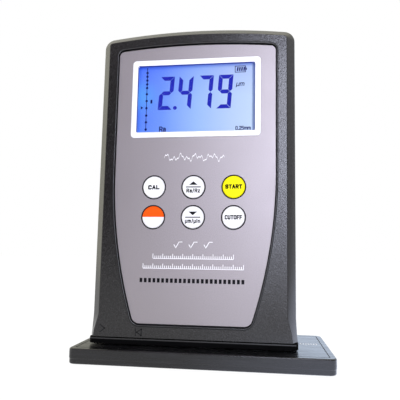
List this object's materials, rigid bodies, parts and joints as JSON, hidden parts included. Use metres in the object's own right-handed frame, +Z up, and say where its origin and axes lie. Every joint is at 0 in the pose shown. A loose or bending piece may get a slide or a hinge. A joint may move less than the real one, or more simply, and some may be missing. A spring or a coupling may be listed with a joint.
{
  "type": "surface roughness tester",
  "caption": "Upright bench surface roughness tester with backlit display and round keys, an internal traverse drive and stylus pick-up, standing on its reference specimen plate.",
  "frame": {"origin": "under the middle of the specimen plate, on the surface it stands on", "axes": "+Z up, the face with the display looks along -Y, +X to the right as seen from the front"},
  "size_m": [0.0996, 0.041, 0.1358],
  "materials": {
    "housing_plastic": "fine spark texture",
    "plate_plastic": "satin",
    "cover_plastic": "satin",
    "rubber_black": "matte",
    "overlay_film": "satin metallic print",
    "white_plastic": "satin",
    "clear_window": "clear",
    "key_white": "satin",
    "key_yellow": "satin",
    "key_orange": "satin",
    "display_glass": "backlit blue",
    "board_green": "solder mask",
    "chip_black": "matte",
    "zebra_rubber": "matte",
    "steel": "turned",
    "specimen_steel": "fine ground lay",
    "spring_plate": "nickel",
    "cell_wrap": "printed sleeve",
    "frame_aluminium": "milled",
    "brass": "turned",
    "gear_acetal": "moulded",
    "carriage_black": "moulded",
    "copper": "enamelled wire"
  },
  "bodies": {
    "tester": {"base_plate": "plate_plastic", "specimen": "specimen_steel", "front_housing": "housing_plastic", "rear_housing": "housing_plastic", "bottom_cover": "cover_plastic", "rubber_feet": "rubber_black", "housing_screws": "steel", "cover_screws": "steel", "face_overlay": "overlay_film", "display_frame": "white_plastic", "display_lens": "clear_window", "main_board": "board_green", "board_screws": "steel", "lcd_glass": "display_glass", "lcd_backlight": "white_plastic", "lcd_connectors": "zebra_rubber", "key_switches": "chip_black", "processor": "chip_black", "memory_chips": "chip_black", "clock_crystal": "spring_plate", "buzzer": "chip_black", "data_socket": "chip_black", "battery_cells": "cell_wrap", "battery_springs": "spring_plate", "battery_contacts": "spring_plate", "drive_frame": "frame_aluminium", "drive_screws": "steel", "guide_rods": "steel", "screw_bushes": "brass", "drive_motor": "steel"},
    "key_cal": {"key_cal": "key_white"},
    "key_up": {"key_up": "key_white"},
    "key_start": {"key_start": "key_yellow"},
    "key_power": {"key_power": "key_orange"},
    "key_down": {"key_down": "key_white"},
    "key_cutoff": {"key_cutoff": "key_white"},
    "battery_door": {"battery_door": "housing_plastic"},
    "carriage": {"carriage": "carriage_black", "lead_nut": "brass", "pickup_tube": "steel", "pickup_skid": "steel", "pickup_coils": "copper", "stylus_pin": "steel"},
    "stylus": {"stylus_arm": "steel"},
    "lead_screw": {"lead_screw": "steel", "screw_gear": "gear_acetal"},
    "motor_pinion": {"motor_pinion": "brass"}
  },
  "joints": [
    {"name": "key_cal_press", "type": "slide", "parent": "tester", "child": "key_cal", "axis": [0, 1, 0], "range_m": [0, 0.0006], "stiffness_N_per_m": 1500},
    {"name": "key_up_press", "type": "slide", "parent": "tester", "child": "key_up", "axis": [0, 1, 0], "range_m": [0, 0.0006], "stiffness_N_per_m": 1500},
    {"name": "key_start_press", "type": "slide", "parent": "tester", "child": "key_start", "axis": [0, 1, 0], "range_m": [0, 0.0006], "stiffness_N_per_m": 1500},
    {"name": "key_power_press", "type": "slide", "parent": "tester", "child": "key_power", "axis": [0, 1, 0], "range_m": [0, 0.0006], "stiffness_N_per_m": 1500},
    {"name": "key_down_press", "type": "slide", "parent": "tester", "child": "key_down", "axis": [0, 1, 0], "range_m": [0, 0.0006], "stiffness_N_per_m": 1500},
    {"name": "key_cutoff_press", "type": "slide", "parent": "tester", "child": "key_cutoff", "axis": [0, 1, 0], "range_m": [0, 0.0006], "stiffness_N_per_m": 1500},
    {"name": "battery_door_hinge", "type": "hinge", "parent": "tester", "child": "battery_door", "pos_m": [-0.004, 0.0153, 0.0536], "axis": [-1, 0, 0], "range_deg": [0, 90]},
    {"name": "carriage_slide", "type": "slide", "parent": "tester", "child": "carriage", "axis": [1, 0, 0], "range_m": [0, 0.0175]},
    {"name": "lead_screw_spin", "type": "hinge", "parent": "tester", "child": "lead_screw", "pos_m": [-0.004, 0.0012, 0.0222], "axis": [1, 0, 0], "range_deg": [0, 3151]},
    {"name": "pinion_spin", "type": "hinge", "parent": "tester", "child": "motor_pinion", "pos_m": [-0.004, 0.0012, 0.03246], "axis": [1, 0, 0], "range_deg": [-6302, 0]},
    {"name": "stylus_pivot", "type": "hinge", "parent": "carriage", "child": "stylus", "pos_m": [-0.018, 0.0012, 0.0102], "axis": [0, 1, 0], "range_deg": [0, 2.5], "stiffness_Nm_per_rad": 0.002}
  ],
  "couplings": [
    {"joint": "lead_screw_spin", "follows": "carriage_slide", "rad_per_m": 3141.6},
    {"joint": "pinion_spin", "follows": "carriage_slide", "rad_per_m": -6283.2}
  ]
}
